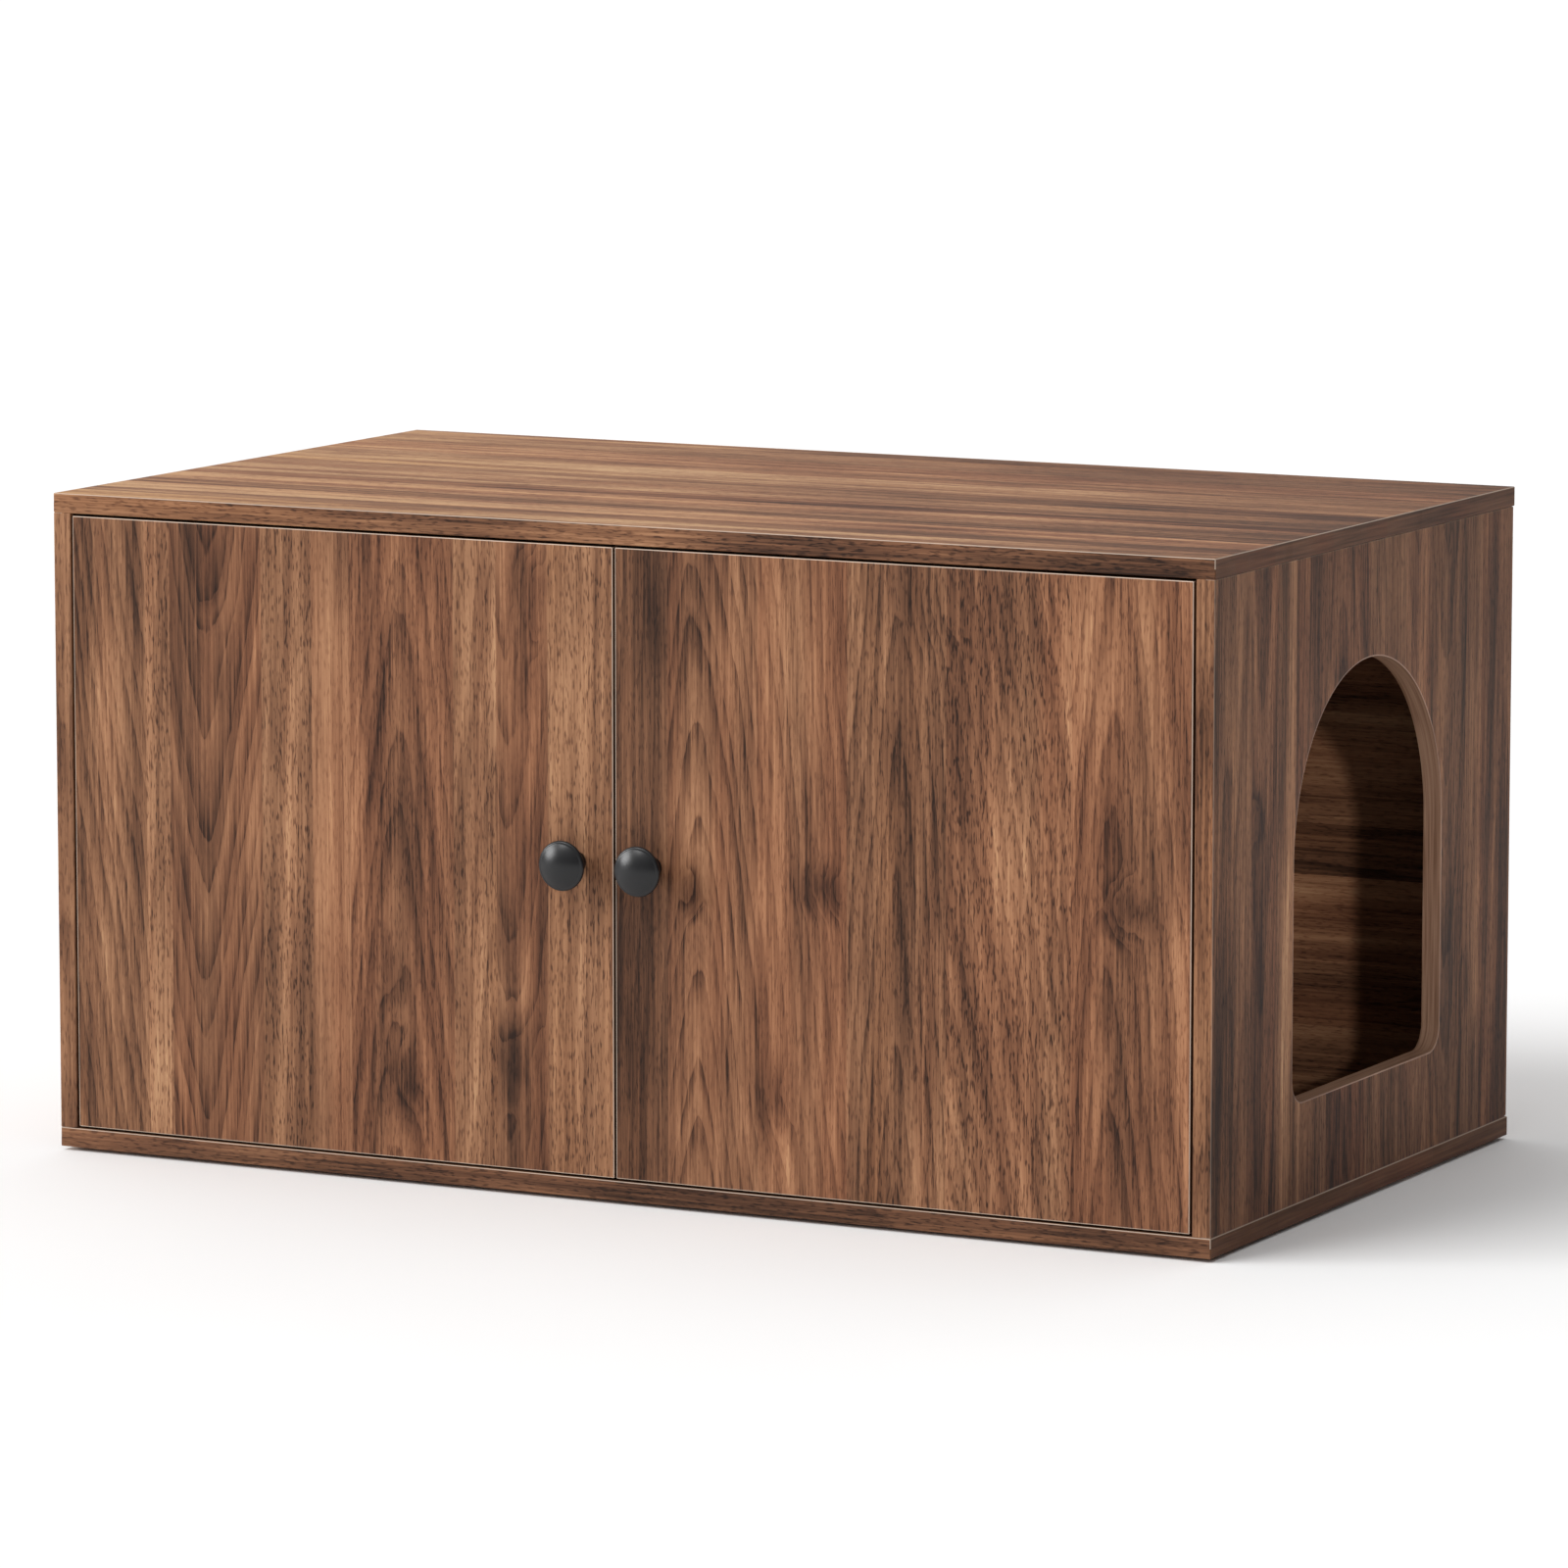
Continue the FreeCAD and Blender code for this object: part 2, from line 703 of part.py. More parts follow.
def arm_screws(level):
    """Two screws that clamp an arm to the rib of its plate."""
    head = turned_profile([
        (0, arm_screw_head_height),
        (arm_screw_head, arm_screw_head_height),
        (arm_screw_head, 0),
        (arm_screw, 0),
        (arm_screw, hole_bottom - arm_screw_length),
        (0, hole_bottom - arm_screw_length),
    ])
    return [aimed(head, place, X) for place in arm_screw_places(level)]


# ---------------------------------------------------------------- magnetic catch
catch_front = door_back + strike_thickness + seat_gap
catch_low = top_under - catch_height


def catch_screw_places():
    across = catch_width / 2 + catch_ear / 2
    return [
        (Vector(side * across, catch_front + catch_depth / 2, top_under - catch_ear_thickness), Z * -1)
        for side in (-1, 1)
    ]


def magnet_box(side, room=0.0):
    middle = side * (catch_width - magnet_width) / 4
    return Part.makeBox(
        magnet_width + 2 * room, magnet_depth + room, magnet_height + 2 * room,
        Vector(
            middle - magnet_width / 2 - room, catch_front,
            catch_low + (catch_height - magnet_height) / 2 - room,
        ),
    )


def catch_housing():
    """Moulded block under the top panel with a pocket for each magnet and an ear at each end."""
    body = Part.makeBox(
        catch_width, catch_depth, catch_height, Vector(-catch_width / 2, catch_front, catch_low)
    )
    lower = [
        edge for edge in body.Edges
        if edge.BoundBox.ZMax < catch_low + fit and edge.BoundBox.YMax > catch_front + fit
    ]
    rounded = body.makeFillet(catch_round, lower)
    ears = Part.makeBox(
        catch_width + 2 * catch_ear, catch_ear, catch_ear_thickness,
        Vector(
            -catch_width / 2 - catch_ear, catch_front + (catch_depth - catch_ear) / 2,
            top_under - catch_ear_thickness,
        ),
    )
    pockets = [magnet_box(side, fit) for side in (-1, 1)]
    return rounded.fuse(ears).cut(pockets + screw_holes(catch_screw_places()))


def strike_middle():
    return Vector(
        -(catch_width - magnet_width) / 4 - door_gap / 2, door_back,
        catch_low + catch_height / 2 - strike_drop,
    )


def strike_screw_places():
    return [(strike_middle() + Vector(0, strike_thickness, -strike_height / 4), Y)]


def strike_plate():
    """Steel plate that the magnet holds, with rounded corners, on the back of the door."""
    size = Vector(strike_width, strike_thickness, strike_height)
    plate = Part.makeBox(size.x, size.y, size.z, strike_middle() - Vector(size.x / 2, 0, size.z / 2))
    corners = [edge for edge in plate.Edges if edge.BoundBox.YLength > strike_thickness / 2]
    return plate.makeFillet(strike_thickness, corners).cut(screw_holes(strike_screw_places()))


# ---------------------------------------------------------------- pieces
def write_boards():
    save(top_panel(), "top_panel")
    save(bottom_panel(), "bottom_panel")
    save(side_panel(-1), "left_side_panel")
    save(side_panel(1).cut(arch_cut()), "right_side_panel")
    save(arch_edge_band(), "arch_edge_band")
    save(back_panel(), "back_panel")
    save(Part.makeCompound([aimed(glide(), place, Z) for place in glide_places()]), "floor_glides")


def write_fittings():
    cams = joint_points(cam_rows)
    save(Part.makeCompound([cam_lock(*point) for point in cams]), "cam_locks")
    save(Part.makeCompound([cam_bolt(*point) for point in cams]), "cam_bolts")
    save(Part.makeCompound([dowel(*point) for point in joint_points(dowel_rows)]), "dowels")
    save(screws(back_screw_places(-1) + back_screw_places(1)), "back_panel_screws")
    save(catch_housing(), "catch_housing")
    save(Part.makeCompound([magnet_box(side) for side in (-1, 1)]), "catch_magnets")
    save(screws(catch_screw_places()), "catch_screws")
    plates = [place for side in (-1, 1) for level in hinge_heights
              for place in plate_screw_places(side, level)]
    save(screws(plates), "hinge_plate_screws")


def write_pair(shape, piece):
    """Saves a left-hand shape and its mirror image."""
    save(shape, "left_" + piece)
    save(shape.mirror(Vector(0, 0, 0), X), "right_" + piece)


def write_doors():
    write_pair(door(), "door")
    write_pair(knob(), "knob")
    write_pair(knob_screw_shape(), "knob_screw")
    write_pair(strike_plate(), "strike_plate")
    write_pair(screws(strike_screw_places()), "strike_screw")
    ears = [place for level in hinge_heights for place in ear_screw_places(level)]
    write_pair(screws(ears), "hinge_cup_screws")


def write_hinges():
    for row, level in zip(("lower", "upper"), hinge_heights):
        write_pair(hinge_cup(level), row + "_hinge_cup")
        write_pair(hinge_plate(level), row + "_hinge_plate")
        write_pair(hinge_arm(level), row + "_hinge_arm")
        write_pair(outer_links(level), row + "_outer_links")
        write_pair(inner_link(level), row + "_inner_link")
    clamps = Part.makeCompound([screw for level in hinge_heights for screw in arm_screws(level)])
    write_pair(clamps, "hinge_arm_screws")
    for pins, name in ((arm_pins, "arm_pins"), (cup_pins, "cup_pins")):
        write_pair(Part.makeCompound([pin for level in hinge_heights for pin in pins(level)]), name)


write_boards()
write_fittings()
write_doors()
write_hinges()
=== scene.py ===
import json
import math

import bmesh
import bpy
import numpy as np
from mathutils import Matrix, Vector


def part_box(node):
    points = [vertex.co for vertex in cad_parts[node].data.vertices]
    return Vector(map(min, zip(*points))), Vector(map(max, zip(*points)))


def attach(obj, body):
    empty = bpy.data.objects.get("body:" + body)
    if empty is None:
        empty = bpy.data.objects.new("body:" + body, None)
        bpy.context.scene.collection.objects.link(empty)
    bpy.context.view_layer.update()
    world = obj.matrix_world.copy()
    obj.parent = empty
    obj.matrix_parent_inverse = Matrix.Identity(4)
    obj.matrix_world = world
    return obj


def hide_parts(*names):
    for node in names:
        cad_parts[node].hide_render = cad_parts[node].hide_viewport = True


# Cat litter cabinet in walnut-look board: two inset doors with dark round knobs, and an arched way in.
# Metres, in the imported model's own frame: X along the front, -Y to the user, Z up, floor at 0.

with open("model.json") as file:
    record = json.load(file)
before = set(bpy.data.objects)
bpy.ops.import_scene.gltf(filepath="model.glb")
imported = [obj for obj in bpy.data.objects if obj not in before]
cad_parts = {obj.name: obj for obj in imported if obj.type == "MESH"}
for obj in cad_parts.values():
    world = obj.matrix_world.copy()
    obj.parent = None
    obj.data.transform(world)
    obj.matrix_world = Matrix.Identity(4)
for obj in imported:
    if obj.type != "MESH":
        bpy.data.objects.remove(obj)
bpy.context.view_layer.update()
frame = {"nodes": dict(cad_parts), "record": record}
nodes = frame["nodes"]
scene = bpy.context.scene
scene.view_settings.view_transform = "Standard"
print("frame loaded,", len(nodes), "nodes")


# ---- helpers ----
def linearColour(code, alpha=1.0):
    # sRGB hex to linear
    parts = np.array([int(code[i:i + 2], 16) / 255 for i in (1, 3, 5)])
    linear = np.where(parts <= 0.04045, parts / 12.92, ((parts + 0.055) / 1.055) ** 2.4)
    return (*linear, alpha)


def addNode(tree, kind, sockets=(), **settings):
    # settings are the node's own; sockets go by order or by name,
    # and hold a number, a colour or what links in
    node = tree.nodes.new("ShaderNode" + kind)
    for name, value in settings.items():
        setattr(node, name, value)
    for socket, value in sockets.items() if isinstance(sockets, dict) else enumerate(sockets):
        if isinstance(value, bpy.types.Node):
            value = value.outputs[0]
        if isinstance(value, bpy.types.NodeSocket):
            tree.links.new(value, node.inputs[socket])
        else:
            node.inputs[socket].default_value = value
    return node


def fillRamp(node, stops, smooth="LINEAR"):
    # stops are pairs of place and linear colour
    ramp = node.color_ramp
    ramp.interpolation = smooth
    while len(ramp.elements) > 1:
        ramp.elements.remove(ramp.elements[-1])
    ramp.elements[0].position, ramp.elements[0].color = stops[0]
    for place, colour in stops[1:]:
        ramp.elements.new(place).color = colour
    return node


def emptyMaterial(name):
    material = bpy.data.materials.new(name)
    material.use_nodes = True
    tree = material.node_tree
    tree.nodes.clear()
    return material, tree


def finishMaterial(material, tree, sockets):
    surface = addNode(tree, "BsdfPrincipled", sockets)
    addNode(tree, "OutputMaterial", {"Surface": surface.outputs["BSDF"]})
    return material


def gridMesh(name, points, closedAround=False, material=None):
    # points has the shape (rows, columns, 3): each four neighbours make a face
    rows, columns = points.shape[:2]
    index = np.arange(rows * columns).reshape(rows, columns)
    if closedAround:
        index = np.concatenate([index, index[:, :1]], axis=1)
    faces = np.stack([index[:-1, :-1], index[:-1, 1:], index[1:, 1:], index[1:, :-1]], axis=-1).reshape(-1, 4)
    mesh = bpy.data.meshes.new(name)
    mesh.from_pydata(points.reshape(-1, 3).tolist(), [], faces.tolist())
    mesh.polygons.foreach_set("use_smooth", np.ones(len(faces), bool))
    piece = bpy.data.objects.new(name, mesh)
    scene.collection.objects.link(piece)
    if material:
        mesh.materials.append(material)
    return piece


def welded(piece):
    # merges the poles and turns every face outwards
    work = bmesh.new()
    work.from_mesh(piece.data)
    bmesh.ops.remove_doubles(work, verts=work.verts, dist=1e-6)
    bmesh.ops.dissolve_degenerate(work, edges=work.edges, dist=1e-7)
    bmesh.ops.recalc_face_normals(work, faces=work.faces)
    work.to_mesh(piece.data)
    work.free()


# ---- walnut board ----
# Melamine-faced chipboard with a printed and lightly embossed walnut, laid out as planks of
# veneer: each plank has its own tone and its own heart, whose rings show as nested arches.
walnutLook = {
    "tones": [
        (0.0, "#291a13"), (0.2, "#493022"), (0.4, "#6d4a35"),
        (0.58, "#896146"), (0.76, "#a57a5a"), (1.0, "#c9a179"),
    ],
    "lift": 0.06,               # added to every board's tone
    "ringSpacing": 9.0,         # mm, between dark growth lines
    "ringUneven": 1.6,          # how far the lines stray from it
    "ringBands": 15.0,          # mm, between light and dark bands
    "lineShape": [(0.0, 0.15), (0.08, 0.0), (0.5, 0.06), (0.86, 0.7), (0.95, 1.0), (1.0, 0.2)],
    "wander": (60, 300),        # how the grain line drifts: mm across and along the grain, as in all pairs
    "drift": 22.0,              # mm
    "ripple": (7, 55),          # small shake of the rings
    "shake": 3.5,               # mm
    "streak": (16, 600),
    "cloud": (70, 180),
    "fibre": (1.9, 95),
    "pore": (1.3, 8),           # real ones are 0.3 wide: drawn coarser, to show
    "bandGain": 0.5,            # share of the tones' scale that each layer takes up
    "streakGain": 0.55,
    "cloudGain": 0.62,
    "fibreGain": 0.66,
    "lineGain": 0.18,
    "poreGain": 0.35,
    "knotEdge": (16, 40),
    "knotRag": 0.9,             # how ragged that edge is
    "leanCells": (35, 500),
    "leanStart": 0.62,
    "leans": [("#b5705a", 1.0, 0.2), ("#86683f", 0.3, 0.34)],   # red and olive: full at, and most
    "tapeFibre": (2.0, 80),
    "tapeStreak": (5, 260),
    "tapeGains": (0.5, 0.4),    # of the two
    "tapeLift": 0.05,
    "highlightTint": "#e0cdbb",      # painted highlight, a light line along the edges
    "edgeWidth": 0.8,           # mm
    "gapShadeTint": "#1b110c",    # painted shade on the doors' narrow faces, as in the gaps between the doors
    "roughness": 0.55,
    "gloss": 0.14,
    "emboss": 0.00008,          # m
}
heartSpan, depthSpan, riseSpan, ringSpan = 1200.0, 400.0, 0.4, 2.0  # what 0 to 1 in a plank ramp stands for
faceReach = 0.3                 # mm under the outside that still count as the face


def walnutBoard(name, node, grain, across, planks, knots=(), seed=0.0, toneAndPaintedLight=0.0, paintedFalloff=0.0, tape=0.0,
                vivid=1.0, edge=0.5, highlightSide=1, paintedGapShade=0.0):
    # planks: (width mm, tone, heart's offset mm, heart's depth mm, heart's rise, ring and pore strength)
    # knots: (across mm, along mm, radius across, radius along, darkness, ring swell mm)
    # the three arguments after seed change the tone of the board, of it along the grain, and of its taped
    # edges;
    # the first is partly painted light, a lighter top and a darker right side; the second is a painted
    # falloff of the light;
    # vivid scales the grain's contrast;
    # edge is the strength of a painted highlight along the edges, on the face that the next argument names;
    # the last argument darkens the narrow faces with painted shade, as in the gaps between the doors
    look = walnutLook
    low, high = (np.array(corner) * 1000 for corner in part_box(node))
    middle, half = (low + high) / 2, (high - low) / 2
    thick = 3 - grain - across
    material, tree = emptyMaterial(name)
    place = addNode(tree, "TexCoord").outputs["Object"]
    inMm = addNode(tree, "VectorMath", {0: place, "Scale": 1000.0}, operation="SCALE")
    split = addNode(tree, "SeparateXYZ", [inMm])
    centred = [addNode(tree, "Math", [split.outputs[i], middle[i]], operation="SUBTRACT") for i in range(3)]
    acrossMm, alongMm = centred[across], centred[grain]

    def stretched(sizes, detail, offset, roughness=0.5, axis=grain):
        # noise with cells of a size across and along an axis; offset sets one layer apart from another
        scale = [1 / sizes[0]] * 3
        scale[axis] = 1 / sizes[1]
        moved = (offset, offset * 0.7, seed)
        mapped = addNode(tree, "Mapping", {"Vector": inMm, "Scale": scale, "Location": moved})
        return addNode(tree, "TexNoise", {
            "Vector": mapped, "Scale": 1.0, "Detail": detail, "Roughness": roughness,
        })

    # planks as steps across the board, in two ramps that hold four values each
    total = sum(plank[0] for plank in planks)
    start, steps, hearts = 0.0, [], []
    for width, tone, offset, depth, slope, rings, pitting in planks:
        heart = ((start + width / 2) / total * 2 - 1) * half[across] + offset
        ownSeed = (len(hearts) * 0.37 + 0.13) % 1
        steps.append((start / total, (0.5 + tone, 0.5 + heart / heartSpan, depth / depthSpan, pitting)))
        hearts.append((start / total, (0.5 + slope / riseSpan, rings / ringSpan, ownSeed, 1)))
        start += width
    share = addNode(tree, "MapRange", {
        "Value": acrossMm, "From Min": -half[across], "From Max": half[across],
    })
    stepRamp = fillRamp(addNode(tree, "ValToRGB", [share]), steps, "CONSTANT")
    heartRamp = fillRamp(addNode(tree, "ValToRGB", [share]), hearts, "CONSTANT")
    toneOf, heartAt, depthOf = addNode(tree, "SeparateColor", [stepRamp]).outputs
    riseOf, ringsOf, plankSeed = addNode(tree, "SeparateColor", [heartRamp]).outputs

    # distance to a heart that lies under the face, plus a steady rise along the grain:
    # its level lines are nested arches, pointing up for a rise over 0 and blunter the deeper the heart
    heartAcross = addNode(tree, "Math", [heartAt, heartSpan, -heartSpan / 2], operation="MULTIPLY_ADD")
    heartDepth = addNode(tree, "Math", [depthOf, depthSpan], operation="MULTIPLY")
    rise = addNode(tree, "Math", [riseOf, riseSpan, -riseSpan / 2], operation="MULTIPLY_ADD")
    wander = stretched(look["wander"], detail=2.0, offset=3.1)
    bent = addNode(tree, "Math", [wander, look["drift"], acrossMm], operation="MULTIPLY_ADD")
    sideways = addNode(tree, "Math", [bent, heartAcross], operation="SUBTRACT")
    squared = addNode(tree, "Math", [heartDepth, heartDepth], operation="MULTIPLY")
    squared = addNode(tree, "Math", [sideways, sideways, squared], operation="MULTIPLY_ADD")
    ringMm = addNode(tree, "Math", [squared], operation="SQRT")
    ringMm = addNode(tree, "Math", [alongMm, rise, ringMm], operation="MULTIPLY_ADD")
    ripple = stretched(look["ripple"], detail=3.0, offset=6.3)
    ringMm = addNode(tree, "Math", [ripple, look["shake"], ringMm], operation="MULTIPLY_ADD")

    # knots swell the rings and darken the wood, with a ragged outline
    darkness = 0.0
    ragged = stretched(look["knotEdge"], detail=2.0, offset=4.4)
    rag = look["knotRag"]
    for knotAcross, knotAlong, wide, long, dark, swell in knots:
        centre = middle.copy()
        centre[across] += knotAcross
        centre[grain] += knotAlong
        reach = [2000.0] * 3        # right through the board
        reach[across], reach[grain] = wide, long
        local = addNode(tree, "Mapping", {
            "Vector": inMm, "Location": centre, "Scale": reach,
        }, vector_type="TEXTURE")
        far = addNode(tree, "VectorMath", [local], operation="LENGTH").outputs["Value"]
        far = addNode(tree, "Math", [ragged, rag, far], operation="MULTIPLY_ADD")
        near = addNode(tree, "MapRange", {
            "Value": far, "From Min": 1 + rag / 2, "From Max": rag / 2,
        }, interpolation_type="SMOOTHSTEP")
        ringMm = addNode(tree, "Math", [near, swell, ringMm], operation="MULTIPLY_ADD")
        darkness = addNode(tree, "Math", [near, dark, darkness], operation="MULTIPLY_ADD")

    # growth rings: uneven bands, other ones in each plank, and a thin dark line where each ring ends
    bandPlace = addNode(tree, "Math", [ringMm, look["ringBands"]], operation="DIVIDE")
    bandPlace = addNode(tree, "Math", [plankSeed, 40.0, bandPlace], operation="MULTIPLY_ADD")
    bands = addNode(tree, "TexNoise", {
        "W": bandPlace, "Scale": 1.0, "Detail": 4.0, "Roughness": 0.62,
    }, noise_dimensions="1D")
    count = addNode(tree, "Math", [ringMm, look["ringSpacing"]], operation="DIVIDE")
    count = addNode(tree, "Math", [bands, look["ringUneven"], count], operation="MULTIPLY_ADD")
    line = fillRamp(addNode(tree, "ValToRGB", [addNode(tree, "Math", [count], operation="FRACT")]), [
        (stop, (grey, grey, grey, 1)) for stop, grey in look["lineShape"]
    ])

    # fine structure: the dark lines break up into fibres, and pores lie thicker in some planks
    fibres = stretched(look["fibre"], detail=3.0, offset=1.3, roughness=0.65)
    broken = addNode(tree, "MapRange", {
        "Value": fibres, "From Min": 0.66, "From Max": 0.34, "To Min": 0.25, "To Max": 1.5,
    })
    line = addNode(tree, "Math", [line, broken], operation="MULTIPLY")
    lineGain = addNode(tree, "Math", [ringsOf, -ringSpan * look["lineGain"]], operation="MULTIPLY")
    poreNoise = stretched(look["pore"], detail=1.0, offset=5.9)
    pores = addNode(tree, "MapRange", {"Value": poreNoise, "From Min": 0.54, "From Max": 0.70})
    poreGain = addNode(tree, "Math", [stepRamp.outputs["Alpha"], -look["poreGain"]], operation="MULTIPLY")

    # everything that makes the wood lighter or darker, added up about the plank's own tone
    layers = (
        (bands, look["bandGain"] * vivid),
        (stretched(look["streak"], detail=3.0, offset=7.7), look["streakGain"] * vivid),
        (fibres, look["fibreGain"] * vivid),
        (stretched(look["cloud"], detail=2.0, offset=9.4), look["cloudGain"] / vivid),
    )
    # the board's tone: painted light on the top, painted shade on the right side, the plain tone elsewhere
    evened = toneAndPaintedLight + look["lift"] - sum(gain for _, gain in layers) / 2
    # along the grain, a painted falloff of the light, used on the top
    value = addNode(tree, "Math", [alongMm, paintedFalloff / 1000, evened], operation="MULTIPLY_ADD")
    value = addNode(tree, "Math", [value, toneOf], operation="ADD")
    value = addNode(tree, "Math", [value, darkness], operation="SUBTRACT")
    if tape:
        front = addNode(tree, "Math", [acrossMm, faceReach - half[across]], operation="LESS_THAN")
        value = addNode(tree, "Math", [front, tape, value], operation="MULTIPLY_ADD")
    for source, gain in layers:
        value = addNode(tree, "Math", [source, gain, value], operation="MULTIPLY_ADD")
    value = addNode(tree, "Math", [line, lineGain, value], operation="MULTIPLY_ADD")
    value = addNode(tree, "Math", [pores, poreGain, value], operation="MULTIPLY_ADD")
    if grain == 0:
        # the ends of the lying boards are taped: one even tone with a fine grain along the tape
        fine = stretched(look["tapeFibre"], detail=3.0, offset=8.3, roughness=0.6, axis=across)
        broad = stretched(look["tapeStreak"], detail=2.0, offset=2.9, axis=across)
        fineGain, broadGain = look["tapeGains"]
        endTone = toneAndPaintedLight + tape + look["tapeLift"]
        taped = addNode(tree, "Math", [fine, fineGain, endTone], operation="MULTIPLY_ADD")
        taped = addNode(tree, "Math", [broad, broadGain, taped], operation="MULTIPLY_ADD")
        far = addNode(tree, "Math", [alongMm], operation="ABSOLUTE")
        atEnd = addNode(tree, "Math", [far, half[grain] - faceReach], operation="GREATER_THAN")
        value = addNode(tree, "Mix", {"Factor": atEnd, "A": value, "B": taped})
    colour = fillRamp(addNode(tree, "ValToRGB", [value]), [
        (stop, linearColour(code)) for stop, code in look["tones"]
    ])

    # a lean to red or olive that changes from plank to plank and slowly inside one
    slow = stretched(look["leanCells"], detail=1.0, offset=2.2)
    lean = addNode(tree, "Math", [plankSeed, 0.45, slow], operation="MULTIPLY_ADD")
    for tint, full, most in look["leans"]:
        amount = addNode(tree, "MapRange", {
            "Value": lean, "From Min": look["leanStart"], "From Max": full, "To Max": most,
        })
        colour = addNode(tree, "MixRGB", [amount, colour, linearColour(tint)], blend_type="SOFT_LIGHT")

    # how far a point lies inside each pair of faces: near two of them at once is an edge, which gets
    # a painted highlight, a light line, on the outer face's side
    width = look["edgeWidth"]
    gaps = []
    for i in range(3):
        size = addNode(tree, "Math", [centred[i]], operation="ABSOLUTE")
        gaps.append(addNode(tree, "Math", [half[i], size], operation="SUBTRACT"))
    lesser = addNode(tree, "Math", gaps[:2], operation="MINIMUM")
    greater = addNode(tree, "Math", gaps[:2], operation="MAXIMUM")
    second = addNode(tree, "Math", [greater, gaps[2]], operation="MINIMUM")
    second = addNode(tree, "Math", [lesser, second], operation="MAXIMUM")
    # painted shade: the doors' narrow faces are darkened, as the gaps between the doors lie in shadow
    if paintedGapShade:
        dim = addNode(tree, "MapRange", {
            "Value": gaps[thick], "From Min": width, "From Max": width * 1.6, "To Max": paintedGapShade,
        })
        colour = addNode(tree, "MixRGB", [dim, colour, linearColour(look["gapShadeTint"])])
    paintedHighlight = addNode(tree, "MapRange", {
        "Value": second, "From Min": width, "From Max": width * 0.5, "To Max": edge,
    })
    outer = addNode(tree, "Math", [centred[thick], highlightSide], operation="MULTIPLY")
    outer = addNode(tree, "Math", [outer, 0.0], operation="GREATER_THAN")
    paintedHighlight = addNode(tree, "Math", [paintedHighlight, outer], operation="MULTIPLY")
    colour = addNode(tree, "MixRGB", [paintedHighlight, colour, linearColour(look["highlightTint"])])

    # pressed pores and fibres catch the light a little
    relief = addNode(tree, "Math", [fibres, 0.5, 0.5], operation="MULTIPLY_ADD")
    relief = addNode(tree, "Math", [pores, -0.7, relief], operation="MULTIPLY_ADD")
    bump = addNode(tree, "Bump", {"Height": relief, "Distance": look["emboss"], "Strength": 0.6})
    rough = addNode(tree, "Math", [fibres, 0.12, look["roughness"] - 0.06], operation="MULTIPLY_ADD")
    return finishMaterial(material, tree, {
        "Base Color": colour, "Roughness": rough, "Normal": bump,
        "IOR": 1.5, "Specular IOR Level": look["gloss"],
    })


